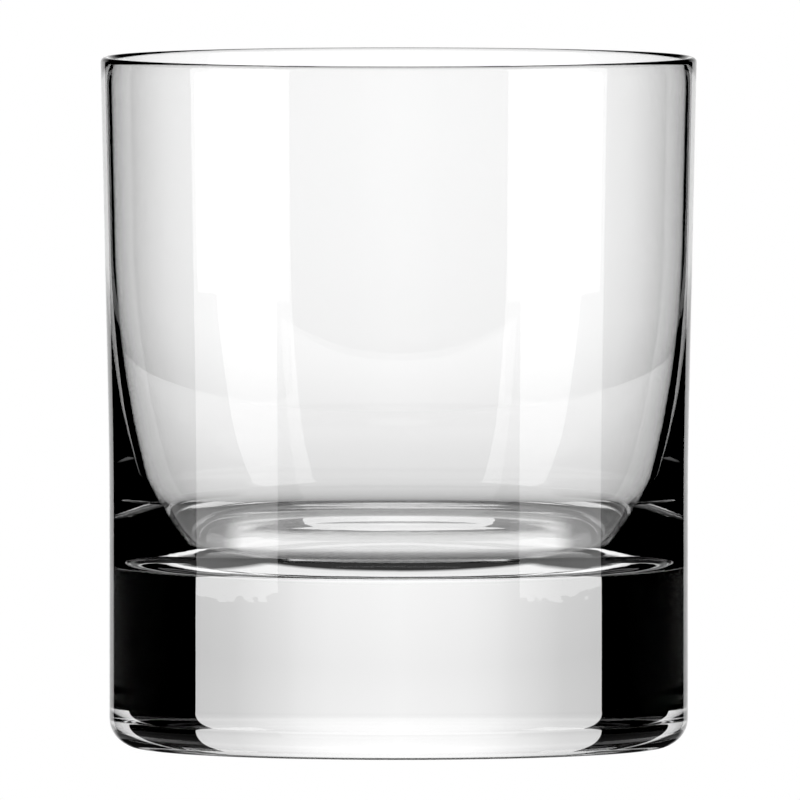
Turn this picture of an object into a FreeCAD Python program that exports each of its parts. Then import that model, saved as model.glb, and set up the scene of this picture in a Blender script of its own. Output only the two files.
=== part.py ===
"""Whiskey tumbler: a thick-based double old-fashioned glass, one piece of clear soda-lime glass.

Frame: millimetres, +Z up, origin at the centre of the foot on the plane the glass stands on.
The glass is a body of revolution about Z, so the model is one half-section turned through 360 degrees.
"""
import FreeCAD, Part
import os
from math import cos, radians, sin, tan

# Outside
HEIGHT = 99.6             # table to lip
LIP_RADIUS = 43.0         # outside radius at the lip
FOOT_RADIUS = 41.75       # outside radius of the straight lower body
CORNER_RADIUS = 4.2       # rounding where the body turns under into the foot
STRAIGHT_HEIGHT = 33.0    # the body is a plain cylinder up to here
FLARE_ANGLE = 1.25        # degrees the upper wall leans outwards

# Underside: a shallow push-up, so that the glass stands on a ring and doesn't rock
RING_INNER_RADIUS = 33.0
PUSH_UP = 0.5

# Lip
LIP_WALL = 1.45           # wall thickness just under the fire-polished lip

# Inside, from the dished floor of the cavity upwards
FLOOR_RING_RADIUS = 27.8  # radius at which the bowl's fillet would turn level
FLOOR_RING_HEIGHT = 25.4  # height there
FLOOR_DISH_ANGLE = 5.0    # degrees the dished floor slopes where it meets the fillet
BOWL_FILLET = 7.6         # radius of the curve out of the floor
BOWL_FILLET_END = 21.0    # degrees from vertical where that curve meets the next
BOWL_CURVE_END = 10.8     # degrees from vertical at the end of the middle curve
BOWL_CURVE = 56.0         # radius of the middle curve of the wall


def point(r, z):
    """A point of the half-section: r from the axis, z above the table."""
    return FreeCAD.Vector(r, 0, z)


def line(start, end):
    return Part.LineSegment(start, end).toShape()


def arc_at(start, lean_from, lean_to, radius, share):
    """The point that lies `share` of the way along an arc which starts at `start`.

    A lean is the angle in degrees between the curve and the vertical, outwards going up.
    """
    a = radians(lean_from)
    b = radians(lean_from + (lean_to - lean_from) * share)
    turn = -1 if lean_to > lean_from else 1
    return point(start.x + turn * radius * (cos(b) - cos(a)), start.z + turn * radius * (sin(a) - sin(b)))


def arc(start, lean_from, lean_to, radius):
    """An arc edge between two leans, and the point where it ends."""
    middle = arc_at(start, lean_from, lean_to, radius, 0.5)
    end = arc_at(start, lean_from, lean_to, radius, 1.0)
    return Part.Arc(start, middle, end).toShape(), end


def arc_through(start, middle, end):
    return Part.Arc(start, middle, end).toShape()


def inside_edges():
    """The cavity from the middle of its floor up to the lip, and the point at the lip."""
    # The floor is a shallow dish, lowest in the middle, that meets the bowl's fillet at its own slope.
    slope = radians(FLOOR_DISH_ANGLE)
    dish_edge = point(FLOOR_RING_RADIUS + BOWL_FILLET * sin(slope),
                      FLOOR_RING_HEIGHT + BOWL_FILLET * (1 - cos(slope)))
    dish_radius = dish_edge.x / sin(slope)
    dish_middle = point(dish_radius * sin(slope / 2), dish_edge.z + dish_radius * (cos(slope) - cos(slope / 2)))
    dish_bottom = point(0, dish_edge.z + dish_radius * (cos(slope) - 1))
    dish = arc_through(dish_bottom, dish_middle, dish_edge)

    fillet, fillet_end = arc(dish_edge, 90 - FLOOR_DISH_ANGLE, BOWL_FILLET_END, BOWL_FILLET)
    curve, curve_end = arc(fillet_end, BOWL_FILLET_END, BOWL_CURVE_END, BOWL_CURVE)

    # The last curve straightens the wall until it leans like the outside, and meets that straight wall
    # where the wall is LIP_WALL thick: its radius follows from the room that is left.
    lip_r = LIP_RADIUS - LIP_WALL
    lip_z = HEIGHT - LIP_WALL / 2
    a, b = radians(BOWL_CURVE_END), radians(FLARE_ANGLE)
    room = (lip_r - curve_end.x) - (lip_z - curve_end.z) * tan(b)
    last_radius = room / ((cos(b) - cos(a)) - (sin(a) - sin(b)) * tan(b))
    last, last_end = arc(curve_end, BOWL_CURVE_END, FLARE_ANGLE, last_radius)
    wall_top = point(lip_r, lip_z)
    wall = line(last_end, wall_top)
    return [dish, fillet, curve, last, wall], dish_bottom, wall_top


def outside_edges(lip_start):
    """The lip, the body and the foot, from the inside of the lip down to the axis at the underside."""
    lip_end = point(lip_start.x + LIP_WALL, lip_start.z)
    lip_top = point(lip_start.x + LIP_WALL / 2, HEIGHT)
    lip = arc_through(lip_start, lip_top, lip_end)

    # The flare leaves the straight body on an arc that uses up the rest of the radius difference.
    a = radians(FLARE_ANGLE)
    rise = lip_end.z - STRAIGHT_HEIGHT
    spare = rise * tan(a) - (lip_end.x - FOOT_RADIUS)
    blend_radius = spare / (sin(a) * tan(a) - (1 - cos(a)))
    blend_end = point(FOOT_RADIUS + blend_radius * (1 - cos(a)), STRAIGHT_HEIGHT + blend_radius * sin(a))
    blend_middle = point(FOOT_RADIUS + blend_radius * (1 - cos(a / 2)),
                         STRAIGHT_HEIGHT + blend_radius * sin(a / 2))
    body_top = point(FOOT_RADIUS, STRAIGHT_HEIGHT)
    body_bottom = point(FOOT_RADIUS, CORNER_RADIUS)
    foot_edge = point(FOOT_RADIUS - CORNER_RADIUS, 0)
    bend = CORNER_RADIUS * (1 - cos(radians(45)))
    corner_middle = point(FOOT_RADIUS - bend, bend)

    # The push-up is one arc from the ring's inner edge to the axis.
    ring_edge = point(RING_INNER_RADIUS, 0)
    under_top = point(0, PUSH_UP)
    under_radius = (RING_INNER_RADIUS ** 2 + PUSH_UP ** 2) / (2 * PUSH_UP)
    half = RING_INNER_RADIUS / 2
    under_middle = point(half, PUSH_UP - under_radius + (under_radius ** 2 - half ** 2) ** 0.5)
    return [
        lip,
        line(lip_end, blend_end),
        arc_through(blend_end, blend_middle, body_top),
        line(body_top, body_bottom),
        arc_through(body_bottom, corner_middle, foot_edge),
        line(foot_edge, ring_edge),
        arc_through(ring_edge, under_middle, under_top),
    ], under_top


def tumbler():
    inside, dish_bottom, wall_top = inside_edges()
    outside, under_top = outside_edges(wall_top)
    section = Part.Wire(inside + outside + [line(under_top, dish_bottom)])
    return Part.Face(section).revolve(FreeCAD.Vector(0, 0, 0), FreeCAD.Vector(0, 0, 1), 360)


def main():
    os.makedirs("parts", exist_ok=True)
    glass = tumbler()
    glass.exportStep("parts/tumbler_glass.step")
    box = glass.optimalBoundingBox()
    print("solids", len(glass.Solids), "valid", glass.isValid(), "volume cm3", round(glass.Volume / 1000, 2))
    print("size", round(box.XLength, 2), round(box.YLength, 2), round(box.ZLength, 2))


main()
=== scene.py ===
"""Whiskey tumbler: a clear glass tumbler on a plain pale floor in a soft bright-field studio.

Metres, in the frame of the CAD model: +Z up, origin at the middle of the foot.
"""
import math

import bmesh
import bpy
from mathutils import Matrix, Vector


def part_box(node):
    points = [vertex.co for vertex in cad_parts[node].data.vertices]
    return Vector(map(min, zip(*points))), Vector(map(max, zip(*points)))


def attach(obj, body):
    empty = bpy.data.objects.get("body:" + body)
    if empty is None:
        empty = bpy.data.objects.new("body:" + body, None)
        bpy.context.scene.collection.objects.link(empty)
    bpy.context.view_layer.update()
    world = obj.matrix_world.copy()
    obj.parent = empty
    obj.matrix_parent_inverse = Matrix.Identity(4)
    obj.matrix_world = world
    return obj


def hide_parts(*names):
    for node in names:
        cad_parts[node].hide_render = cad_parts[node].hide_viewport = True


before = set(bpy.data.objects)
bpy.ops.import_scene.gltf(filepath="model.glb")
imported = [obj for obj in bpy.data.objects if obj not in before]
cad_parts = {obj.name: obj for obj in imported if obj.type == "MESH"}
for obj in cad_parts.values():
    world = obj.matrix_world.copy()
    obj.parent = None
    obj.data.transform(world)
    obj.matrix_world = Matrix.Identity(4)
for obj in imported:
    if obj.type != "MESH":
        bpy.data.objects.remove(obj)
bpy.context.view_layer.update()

MM = 0.001
NODE = "tumbler_glass"

# The glass: outside sizes come from the frame, the rest are the same driving dimensions as the CAD's.
_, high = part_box(NODE)
HEIGHT = high[2]
LIP_RADIUS = high[0]
FOOT_RADIUS = 41.75 * MM
CORNER_RADIUS = 4.2 * MM
STRAIGHT_HEIGHT = 33.0 * MM
FLARE_ANGLE = 1.25
RING_INNER_RADIUS = 33.0 * MM
PUSH_UP = 0.5 * MM
LIP_WALL = 1.45 * MM
FLOOR_RING_RADIUS = 27.8 * MM
FLOOR_RING_HEIGHT = 25.4 * MM
FLOOR_DISH_ANGLE = 5.0
BOWL_FILLET = 7.6 * MM
BOWL_FILLET_END = 21.0
BOWL_CURVE_END = 10.8
BOWL_CURVE = 56.0 * MM

# How finely each stretch of the half-section is divided, and the turn about the axis
SEGMENTS = 320
DISH_STEPS = 40
FILLET_STEPS = 48
CURVE_STEPS = 24
LAST_CURVE_STEPS = 36
WALL_STEPS = 16
LIP_STEPS = 16
BLEND_STEPS = 24
BODY_STEPS = 12
CORNER_STEPS = 32
RING_STEPS = 4
PUSH_UP_STEPS = 24

# The moulded ripple of the low inner wall
RIPPLE_DEPTH = 0.012 * MM
RIPPLE_BAND = 5 * MM
RIPPLE_FADE = 4            # how sharply it dies away towards the axis
# (share, lobes round the glass, phase, twist per metre of height)
RIPPLE_WAVES = [(1.0, 5, 0.7, 0), (0.6, 9, 2.1, 260), (0.35, 17, -1.3, -420), (0.2, 31, 0.0, 700)]


# ---------------------------------------------------------------- the half-section

def arc(start, lean_from, lean_to, radius, count):
    """Points of an arc after `start`, between two leans: angles in degrees from the vertical, going up."""
    r, z = start
    first = math.radians(lean_from)
    turn = -1 if lean_to > lean_from else 1
    points = []
    for step in range(1, count + 1):
        lean = math.radians(lean_from + (lean_to - lean_from) * step / count)
        points.append((r + turn * radius * (math.cos(lean) - math.cos(first)),
                       z + turn * radius * (math.sin(first) - math.sin(lean))))
    return points


def straight(start, end, count):
    """Evenly spaced points after `start`, up to `end`."""
    return [tuple(a + (b - a) * step / count for a, b in zip(start, end)) for step in range(1, count + 1)]


def inside_profile():
    """The cavity, from the middle of its floor to the inside of the lip."""
    slope = math.radians(FLOOR_DISH_ANGLE)
    edge = (FLOOR_RING_RADIUS + BOWL_FILLET * math.sin(slope),
            FLOOR_RING_HEIGHT + BOWL_FILLET * (1 - math.cos(slope)))
    dish_radius = edge[0] / math.sin(slope)
    points = []
    for step in range(DISH_STEPS + 1):
        lean = slope * step / DISH_STEPS
        points.append((dish_radius * math.sin(lean),
                       edge[1] - dish_radius * (math.cos(lean) - math.cos(slope))))
    points += arc(points[-1], 90 - FLOOR_DISH_ANGLE, BOWL_FILLET_END, BOWL_FILLET, FILLET_STEPS)
    points += arc(points[-1], BOWL_FILLET_END, BOWL_CURVE_END, BOWL_CURVE, CURVE_STEPS)
    # The last curve straightens the wall until it leans like the outside, at the lip's thickness.
    lip_inside = (LIP_RADIUS - LIP_WALL, HEIGHT - LIP_WALL / 2)
    curve_end = points[-1]
    a, b = math.radians(BOWL_CURVE_END), math.radians(FLARE_ANGLE)
    room = (lip_inside[0] - curve_end[0]) - (lip_inside[1] - curve_end[1]) * math.tan(b)
    last_radius = room / ((math.cos(b) - math.cos(a)) - (math.sin(a) - math.sin(b)) * math.tan(b))
    points += arc(curve_end, BOWL_CURVE_END, FLARE_ANGLE, last_radius, LAST_CURVE_STEPS)
    return points + straight(points[-1], lip_inside, WALL_STEPS)


def outside_profile(lip_inside):
    """The lip, the body, the foot's corner, the ring and the push-up, down to the axis."""
    half = LIP_WALL / 2
    points = []
    for step in range(1, LIP_STEPS + 1):
        angle = math.pi * (1 - step / LIP_STEPS)
        points.append((lip_inside[0] + half + half * math.cos(angle), lip_inside[1] + half * math.sin(angle)))
    lip_end = points[-1]
    a = math.radians(FLARE_ANGLE)
    # The flare leaves the straight body on an arc that uses up the rest of the radius difference.
    spare = (lip_end[1] - STRAIGHT_HEIGHT) * math.tan(a) - (lip_end[0] - FOOT_RADIUS)
    blend = spare / (math.sin(a) * math.tan(a) - (1 - math.cos(a)))
    blend_end = (FOOT_RADIUS + blend * (1 - math.cos(a)), STRAIGHT_HEIGHT + blend * math.sin(a))
    points += straight(lip_end, blend_end, WALL_STEPS)
    for step in range(1, BLEND_STEPS + 1):
        lean = a * (1 - step / BLEND_STEPS)
        points.append((FOOT_RADIUS + blend * (1 - math.cos(lean)), STRAIGHT_HEIGHT + blend * math.sin(lean)))
    points += straight(points[-1], (FOOT_RADIUS, CORNER_RADIUS), BODY_STEPS)
    for step in range(1, CORNER_STEPS + 1):
        angle = math.pi / 2 * step / CORNER_STEPS
        points.append((FOOT_RADIUS - CORNER_RADIUS * (1 - math.cos(angle)),
                       CORNER_RADIUS * (1 - math.sin(angle))))
    points += straight(points[-1], (RING_INNER_RADIUS, 0.0), RING_STEPS)
    under = (RING_INNER_RADIUS ** 2 + PUSH_UP ** 2) / (2 * PUSH_UP)
    for step in range(1, PUSH_UP_STEPS + 1):
        r = RING_INNER_RADIUS * (1 - step / PUSH_UP_STEPS)
        points.append((r, PUSH_UP - under + math.sqrt(under ** 2 - r ** 2)))
    return points


# ---------------------------------------------------------------- the glass

def ripple(angle, r, z, inside):
    """How far the moulded surface stands off the true curve."""
    if not inside:
        return 0.0
    towards_axis = min(1.0, r / FLOOR_RING_RADIUS) ** RIPPLE_FADE
    low_wall = math.exp(-((z - FLOOR_RING_HEIGHT) / RIPPLE_BAND) ** 2) * towards_axis
    waves = sum(share * math.sin(lobes * angle + phase + twist * z)
                for share, lobes, phase, twist in RIPPLE_WAVES)
    return RIPPLE_DEPTH * low_wall * waves


def lathe(name, inside, outside):
    """A closed body of revolution; the first and last points lie on the axis."""
    points = inside + outside
    bm = bmesh.new()
    rings = []
    for index, (r, z) in enumerate(points):
        if index in (0, len(points) - 1):
            rings.append([bm.verts.new((0, 0, z))])
            continue
        ring = []
        for segment in range(SEGMENTS):
            angle = 2 * math.pi * segment / SEGMENTS
            radius = r + ripple(angle, r, z, index < len(inside))
            ring.append(bm.verts.new((radius * math.cos(angle), radius * math.sin(angle), z)))
        rings.append(ring)
    for upper, lower in zip(rings, rings[1:]):
        for segment in range(SEGMENTS):
            following = (segment + 1) % SEGMENTS
            corners = [upper[segment % len(upper)], upper[following % len(upper)],
                       lower[following % len(lower)], lower[segment % len(lower)]]
            bm.faces.new(list(dict.fromkeys(corners)))
    bmesh.ops.recalc_face_normals(bm, faces=bm.faces)
    mesh = bpy.data.meshes.new(name)
    bm.to_mesh(mesh)
    bm.free()
    mesh.polygons.foreach_set("use_smooth", [True] * len(mesh.polygons))
    piece = bpy.data.objects.new(name, mesh)
    bpy.context.scene.collection.objects.link(piece)
    return piece


# ---------------------------------------------------------------- materials

class Looks:
    """A new material, with a short word for each kind of node that the scene uses."""

    def __init__(self, name):
        self.material = bpy.data.materials.new(name)
        self.material.use_nodes = True
        self.nodes = self.material.node_tree.nodes
        self.links = self.material.node_tree.links

    def maths(self, operation, a, b=0):
        node = self.nodes.new("ShaderNodeMath")
        node.operation = operation
        for socket, value in zip(node.inputs, (a, b)):
            if isinstance(value, (int, float)):
                socket.default_value = value
            else:
                self.links.new(value, socket)
        return node.outputs[0]

    def ramp(self, value, stops):
        """A colour ramp of greys: stops are (position, grey)."""
        node = self.nodes.new("ShaderNodeValToRGB")
        elements = node.color_ramp.elements
        while len(elements) < len(stops):
            elements.new(0.5)
        for element, (position, grey) in zip(elements, stops):
            element.position = position
            element.color = (grey, grey, grey, 1)
        self.links.new(value, node.inputs["Fac"])
        return node.outputs["Color"]

    def noise(self, where, scale, detail):
        node = self.nodes.new("ShaderNodeTexNoise")
        node.inputs["Scale"].default_value = scale
        node.inputs["Detail"].default_value = detail
        self.links.new(where, node.inputs["Vector"])
        return node.outputs[0]

    def place(self):
        """Where the surface is in the room, as one vector."""
        return self.nodes.new("ShaderNodeNewGeometry").outputs["Position"]

    def axes(self, where):
        """The X, Y and Z of a vector."""
        node = self.nodes.new("ShaderNodeSeparateXYZ")
        self.links.new(where, node.inputs[0])
        return node.outputs["X"], node.outputs["Y"], node.outputs["Z"]

    def reflections(self):
        """How many times the light's path has been reflected before it gets here."""
        return self.nodes.new("ShaderNodeLightPath").outputs["Glossy Depth"]

    def mix(self, share, first, second):
        node = self.nodes.new("ShaderNodeMixShader")
        self.links.new(share, node.inputs[0])
        self.links.new(first, node.inputs[1])
        self.links.new(second, node.inputs[2])
        return node.outputs[0]


class Glow(Looks):
    """A light of the set: an emission whose strength is a number or worked out by nodes."""

    def __init__(self, name):
        super().__init__(name)
        self.nodes.clear()
        self.out = self.nodes.new("ShaderNodeOutputMaterial")
        self.light = self.nodes.new("ShaderNodeEmission")
        self.shine(self.light.outputs[0])

    def shine(self, shader):
        self.links.new(shader, self.out.inputs["Surface"])

    def strength(self, value):
        self.links.new(value, self.light.inputs["Strength"])


GLASS_INDEX = 1.52
RULER = 0.1                # ramps over a length run from 0 to this many metres
WAVE_SCALE = 90.0
WAVE_DETAIL = 3.0
WAVE_DEPTH = 0.05 * MM
# The waviness by height: a little stronger round the corner of the cavity
WAVE_AMOUNT = [(0.0, 0.10), (0.22, 0.10), (0.25, 0.9), (0.29, 1.0), (0.34, 0.10), (1.0, 0.06)]
SMEAR_SCALE = 35.0
SMEAR_DETAIL = 2.0
SMEAR_ROUGHNESS = [(0.35, 0.0), (0.75, 0.012)]


def glass_material():
    """Clear soda-lime glass, with the faintest waviness and smears."""
    looks = Looks("clear_glass")
    shader = looks.nodes["Principled BSDF"]
    shader.inputs["Base Color"].default_value = (1, 1, 1, 1)
    shader.inputs["Transmission Weight"].default_value = 1.0
    shader.inputs["IOR"].default_value = GLASS_INDEX
    where = looks.nodes.new("ShaderNodeTexCoord").outputs["Object"]
    _, _, z = looks.axes(where)
    bump = looks.nodes.new("ShaderNodeBump")
    bump.inputs["Distance"].default_value = WAVE_DEPTH
    looks.links.new(looks.noise(where, WAVE_SCALE, WAVE_DETAIL), bump.inputs["Height"])
    looks.links.new(looks.ramp(looks.maths("DIVIDE", z, RULER), WAVE_AMOUNT), bump.inputs["Strength"])
    looks.links.new(bump.outputs[0], shader.inputs["Normal"])
    smears = looks.ramp(looks.noise(where, SMEAR_SCALE, SMEAR_DETAIL), SMEAR_ROUGHNESS)
    looks.links.new(smears, shader.inputs["Roughness"])
    return looks.material


# ---------------------------------------------------------------- the studio

# Clear glass looks like what it shows of the set. The light sheets don't show to the camera, and some
# shine only for paths that have been reflected a given number of times.
ONCE = 0.5                 # more reflections than this is one or more
TWICE = 1.5                # more reflections than this is two or more
SHEET_FOOT = -0.01         # the sheets go down past the floor

PANEL_Y = 0.261
PANEL_HALF = 0.140
PANEL_TOP = 0.30
PANEL_STRENGTH = 1.13
PANEL_ACROSS = [(0, 1.0), (0.243, 0.955), (0.357, 0.90), (0.414, 0.85), (0.686, 0.70), (0.97, 0.66)]
PANEL_UPWARD = [(0, 0.95), (0.17, 1.027), (0.31, 1.077), (0.8, PANEL_STRENGTH)]
PANEL_REFLECTED = [(0.10, 1.0), (0.16, 0.0)]   # by height in metres, for paths reflected exactly once

SOFTBOX_INNER = (0.396, -0.365)
SOFTBOX_OUTER = (0.529, -0.044)
SOFTBOX_TOP = 0.45
SOFTBOX_STRENGTH = 2.2

SIDE_PANEL_X = 0.38
SIDE_PANEL_HALF = 0.25
SIDE_PANEL_FOOT = 0.012
SIDE_PANEL_TOP = 0.45

FRONT_CARD_Y = -0.5
FRONT_CARD_HALF = 0.9
FRONT_CARD_TOP = 0.9
FRONT_CARD_LIT_FROM = 0.08
FRONT_CARD_STRENGTH = 0.9

SIDES = [("left", -1), ("right", 1)]


def stage_sheet(name, corners, material, shows):
    """A flat four-cornered sheet of the set, which shows to the camera or doesn't."""
    mesh = bpy.data.meshes.new(name)
    mesh.from_pydata(corners, [], [(0, 1, 2, 3)])
    sheet = bpy.data.objects.new(name, mesh)
    bpy.context.scene.collection.objects.link(sheet)
    mesh.materials.append(material)
    sheet.visible_camera = shows


def light_sheet(name, start, end, foot, top, material):
    """An upright sheet over the line from start to end on the floor."""
    corners = [(*start, foot), (*end, foot), (*end, top), (*start, top)]
    stage_sheet(name, corners, material, False)


def back_panel():
    """The bright field behind the glass, darker towards its sides."""
    glow = Glow("panel")
    x, _, z = glow.axes(glow.place())
    across = glow.ramp(glow.maths("DIVIDE", glow.maths("ABSOLUTE", x), PANEL_HALF), PANEL_ACROSS)
    shares = [(position, strength / PANEL_STRENGTH) for position, strength in PANEL_UPWARD]
    upward = glow.ramp(glow.maths("DIVIDE", z, RULER), shares)
    reflected_once = glow.maths("COMPARE", glow.reflections(), 1.0)
    otherwise = glow.maths("SUBTRACT", 1.0, reflected_once)
    kept = glow.maths("MAXIMUM", glow.ramp(z, PANEL_REFLECTED), otherwise)
    share = glow.maths("MULTIPLY", glow.maths("MULTIPLY", across, upward), kept)
    glow.strength(glow.maths("MULTIPLY", share, PANEL_STRENGTH))
    light_sheet("panel", (-PANEL_HALF, PANEL_Y), (PANEL_HALF, PANEL_Y), SHEET_FOOT, PANEL_TOP, glow.material)


def softboxes():
    """They make the two upright strips, and don't light paths that have been reflected twice or more."""
    glow = Glow("softbox")
    seen = glow.maths("LESS_THAN", glow.reflections(), TWICE)
    glow.strength(glow.maths("MULTIPLY", seen, SOFTBOX_STRENGTH))
    for name, side in SIDES:
        inner = (side * SOFTBOX_INNER[0], SOFTBOX_INNER[1])
        outer = (side * SOFTBOX_OUTER[0], SOFTBOX_OUTER[1])
        light_sheet("softbox_" + name, inner, outer, SHEET_FOOT, SOFTBOX_TOP, glow.material)


def side_panels():
    """They shine for paths that haven't been reflected, and let the others through to the softboxes."""
    glow = Glow("side_panel")
    clear = glow.nodes.new("ShaderNodeBsdfTransparent")
    reflected = glow.maths("GREATER_THAN", glow.reflections(), ONCE)
    glow.light.inputs["Strength"].default_value = 1.0
    glow.shine(glow.mix(reflected, glow.light.outputs[0], clear.outputs[0]))
    for name, side in SIDES:
        x = side * SIDE_PANEL_X
        light_sheet("side_panel_" + name, (x, -SIDE_PANEL_HALF), (x, SIDE_PANEL_HALF),
                    SIDE_PANEL_FOOT, SIDE_PANEL_TOP, glow.material)


def front_card():
    """It shines from its upper part, for paths that have been reflected twice or more."""
    glow = Glow("front_card")
    _, _, z = glow.axes(glow.place())
    reflected_twice = glow.maths("GREATER_THAN", glow.reflections(), TWICE)
    high_up = glow.maths("GREATER_THAN", z, FRONT_CARD_LIT_FROM)
    share = glow.maths("MULTIPLY", reflected_twice, high_up)
    glow.strength(glow.maths("MULTIPLY", share, FRONT_CARD_STRENGTH))
    light_sheet("front_card", (-FRONT_CARD_HALF, FRONT_CARD_Y), (FRONT_CARD_HALF, FRONT_CARD_Y),
                0.0, FRONT_CARD_TOP, glow.material)


FLOOR_HALF = 3.0
FLOOR_Z = -0.05 * MM       # just under the foot, so that the two surfaces don't coincide
SHADE_REACH = 0.25         # the floor's shade is given by distance from the axis, as a share of this
FLOOR_SHADE = [(0.0, 0.9), (0.150, 0.9), (0.157, 0.25), (0.170, 0.12), (0.185, 0.04), (0.20, 0.29),
               (0.224, 0.45), (0.264, 0.58), (0.34, 0.70), (0.57, 0.82), (0.84, 0.92), (1.0, 0.95)]
UNDER_FOOT = 0.166         # nearer than this share, the floor is under the glass
MIRROR_FROM = 0.19         # and from this share outwards it mirrors the set for reflected paths
# Under the glass, the floor brightens from front to back: from which Y, and over what length
STRAIGHT_START, STRAIGHT_SPAN = -0.012, 0.018
STRAIGHT_SHADE = [(0.0, 0.04), (0.55, 0.12), (1.0, 1.0)]
REFLECTED_START, REFLECTED_SPAN = -0.027, 0.005
REFLECTED_SHADE = [(0.0, 0.0), (1.0, 1.0)]
MIDDLE_SHADE = [(0.26, 1.0), (0.30, 0.03)]     # and it darkens towards the sides
SHEEN = [(0.80, 0), (0.90, 1)]                 # by how grazing the view is


def under_foot_light(glow, x, y, reflected):
    """How bright the floor is under the glass."""
    straight_y = glow.maths("DIVIDE", glow.maths("ADD", y, -STRAIGHT_START), STRAIGHT_SPAN)
    reflected_y = glow.maths("DIVIDE", glow.maths("ADD", y, -REFLECTED_START), REFLECTED_SPAN)
    for_reflected = glow.maths("MULTIPLY", reflected, glow.ramp(reflected_y, REFLECTED_SHADE))
    middle = glow.ramp(glow.maths("DIVIDE", glow.maths("ABSOLUTE", x), RULER), MIDDLE_SHADE)
    brighter = glow.maths("MAXIMUM", glow.ramp(straight_y, STRAIGHT_SHADE), for_reflected)
    return glow.maths("MULTIPLY", brighter, middle)


def floor():
    """White to the camera; in the glass, pale with a shadow round the foot and a sheen at grazing angles."""
    glow = Glow("floor")
    where = glow.place()
    length = glow.nodes.new("ShaderNodeVectorMath")
    length.operation = "LENGTH"
    glow.links.new(where, length.inputs[0])
    distance = glow.maths("DIVIDE", length.outputs["Value"], SHADE_REACH)
    path = glow.nodes.new("ShaderNodeLightPath")
    reflected = glow.maths("GREATER_THAN", path.outputs["Glossy Depth"], ONCE)
    x, y, _ = glow.axes(where)
    outside = glow.maths("SUBTRACT", 1.0, glow.maths("LESS_THAN", distance, UNDER_FOOT))
    lit = glow.maths("MAXIMUM", under_foot_light(glow, x, y, reflected), outside)
    glow.strength(glow.maths("MULTIPLY", glow.ramp(distance, FLOOR_SHADE), lit))

    mirror = glow.nodes.new("ShaderNodeBsdfGlossy")
    mirror.inputs["Roughness"].default_value = 0.0
    mirror.inputs["Color"].default_value = (1, 1, 1, 1)
    facing = glow.nodes.new("ShaderNodeLayerWeight")
    facing.inputs["Blend"].default_value = 0.5
    grazing = glow.ramp(facing.outputs["Facing"], SHEEN)
    past_foot = glow.maths("MULTIPLY", reflected, glow.maths("GREATER_THAN", distance, MIRROR_FROM))
    in_glass = glow.mix(glow.maths("MAXIMUM", grazing, past_foot), glow.light.outputs[0], mirror.outputs[0])
    white = glow.nodes.new("ShaderNodeEmission")
    glow.shine(glow.mix(path.outputs["Is Camera Ray"], in_glass, white.outputs[0]))
    quarters = [(-1, -1), (1, -1), (1, 1), (-1, 1)]
    corners = [(across * FLOOR_HALF, along * FLOOR_HALF, FLOOR_Z) for across, along in quarters]
    stage_sheet("floor", corners, glow.material, True)


def surroundings():
    """A plain white world that only the camera sees."""
    world = bpy.data.worlds.new("studio")
    bpy.context.scene.world = world
    world.use_nodes = True
    nodes, links = world.node_tree.nodes, world.node_tree.links
    background = nodes["Background"]
    path = nodes.new("ShaderNodeLightPath")
    links.new(path.outputs["Is Camera Ray"], background.inputs["Strength"])
    background.inputs["Color"].default_value = (1, 1, 1, 1)


GLASS_BOUNCES = 32
REFLECTIONS = 4                    # few, so that the sides of the solid base stay black
FRAME_WIDTH = 115.44 * MM          # what the picture takes in, at the glass
SENSOR_WIDTH = 36.0
VIEW_DEPTH = 20.0
CAMERA_DISTANCE = 5.334
CAMERA_ELEVATION = 2.4
AIM = Vector((0.19 * MM, 0, 50.06 * MM))


def camera():
    data = bpy.data.cameras.new("camera")
    data.sensor_width = SENSOR_WIDTH
    data.lens = data.sensor_width * CAMERA_DISTANCE / FRAME_WIDTH
    data.clip_end = VIEW_DEPTH
    eye = bpy.data.objects.new("camera", data)
    bpy.context.scene.collection.objects.link(eye)
    tilt = math.radians(CAMERA_ELEVATION)
    eye.location = AIM + CAMERA_DISTANCE * Vector((0, -math.cos(tilt), math.sin(tilt)))
    eye.rotation_euler = (math.pi / 2 - tilt, 0, 0)
    bpy.context.scene.camera = eye


inside = inside_profile()
outside = outside_profile(inside[-1])
tumbler = lathe("tumbler", inside, outside)
tumbler.data.materials.append(glass_material())
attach(tumbler, "root")
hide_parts(NODE)

surroundings()
back_panel()
softboxes()
side_panels()
front_card()
floor()
camera()

scene = bpy.context.scene
scene.view_settings.view_transform = "Standard"
scene.cycles.max_bounces = GLASS_BOUNCES
scene.cycles.transmission_bounces = GLASS_BOUNCES
scene.cycles.glossy_bounces = REFLECTIONS
scene.cycles.blur_glossy = 0.0
scene.cycles.caustics_refractive = True
scene.cycles.caustics_reflective = True
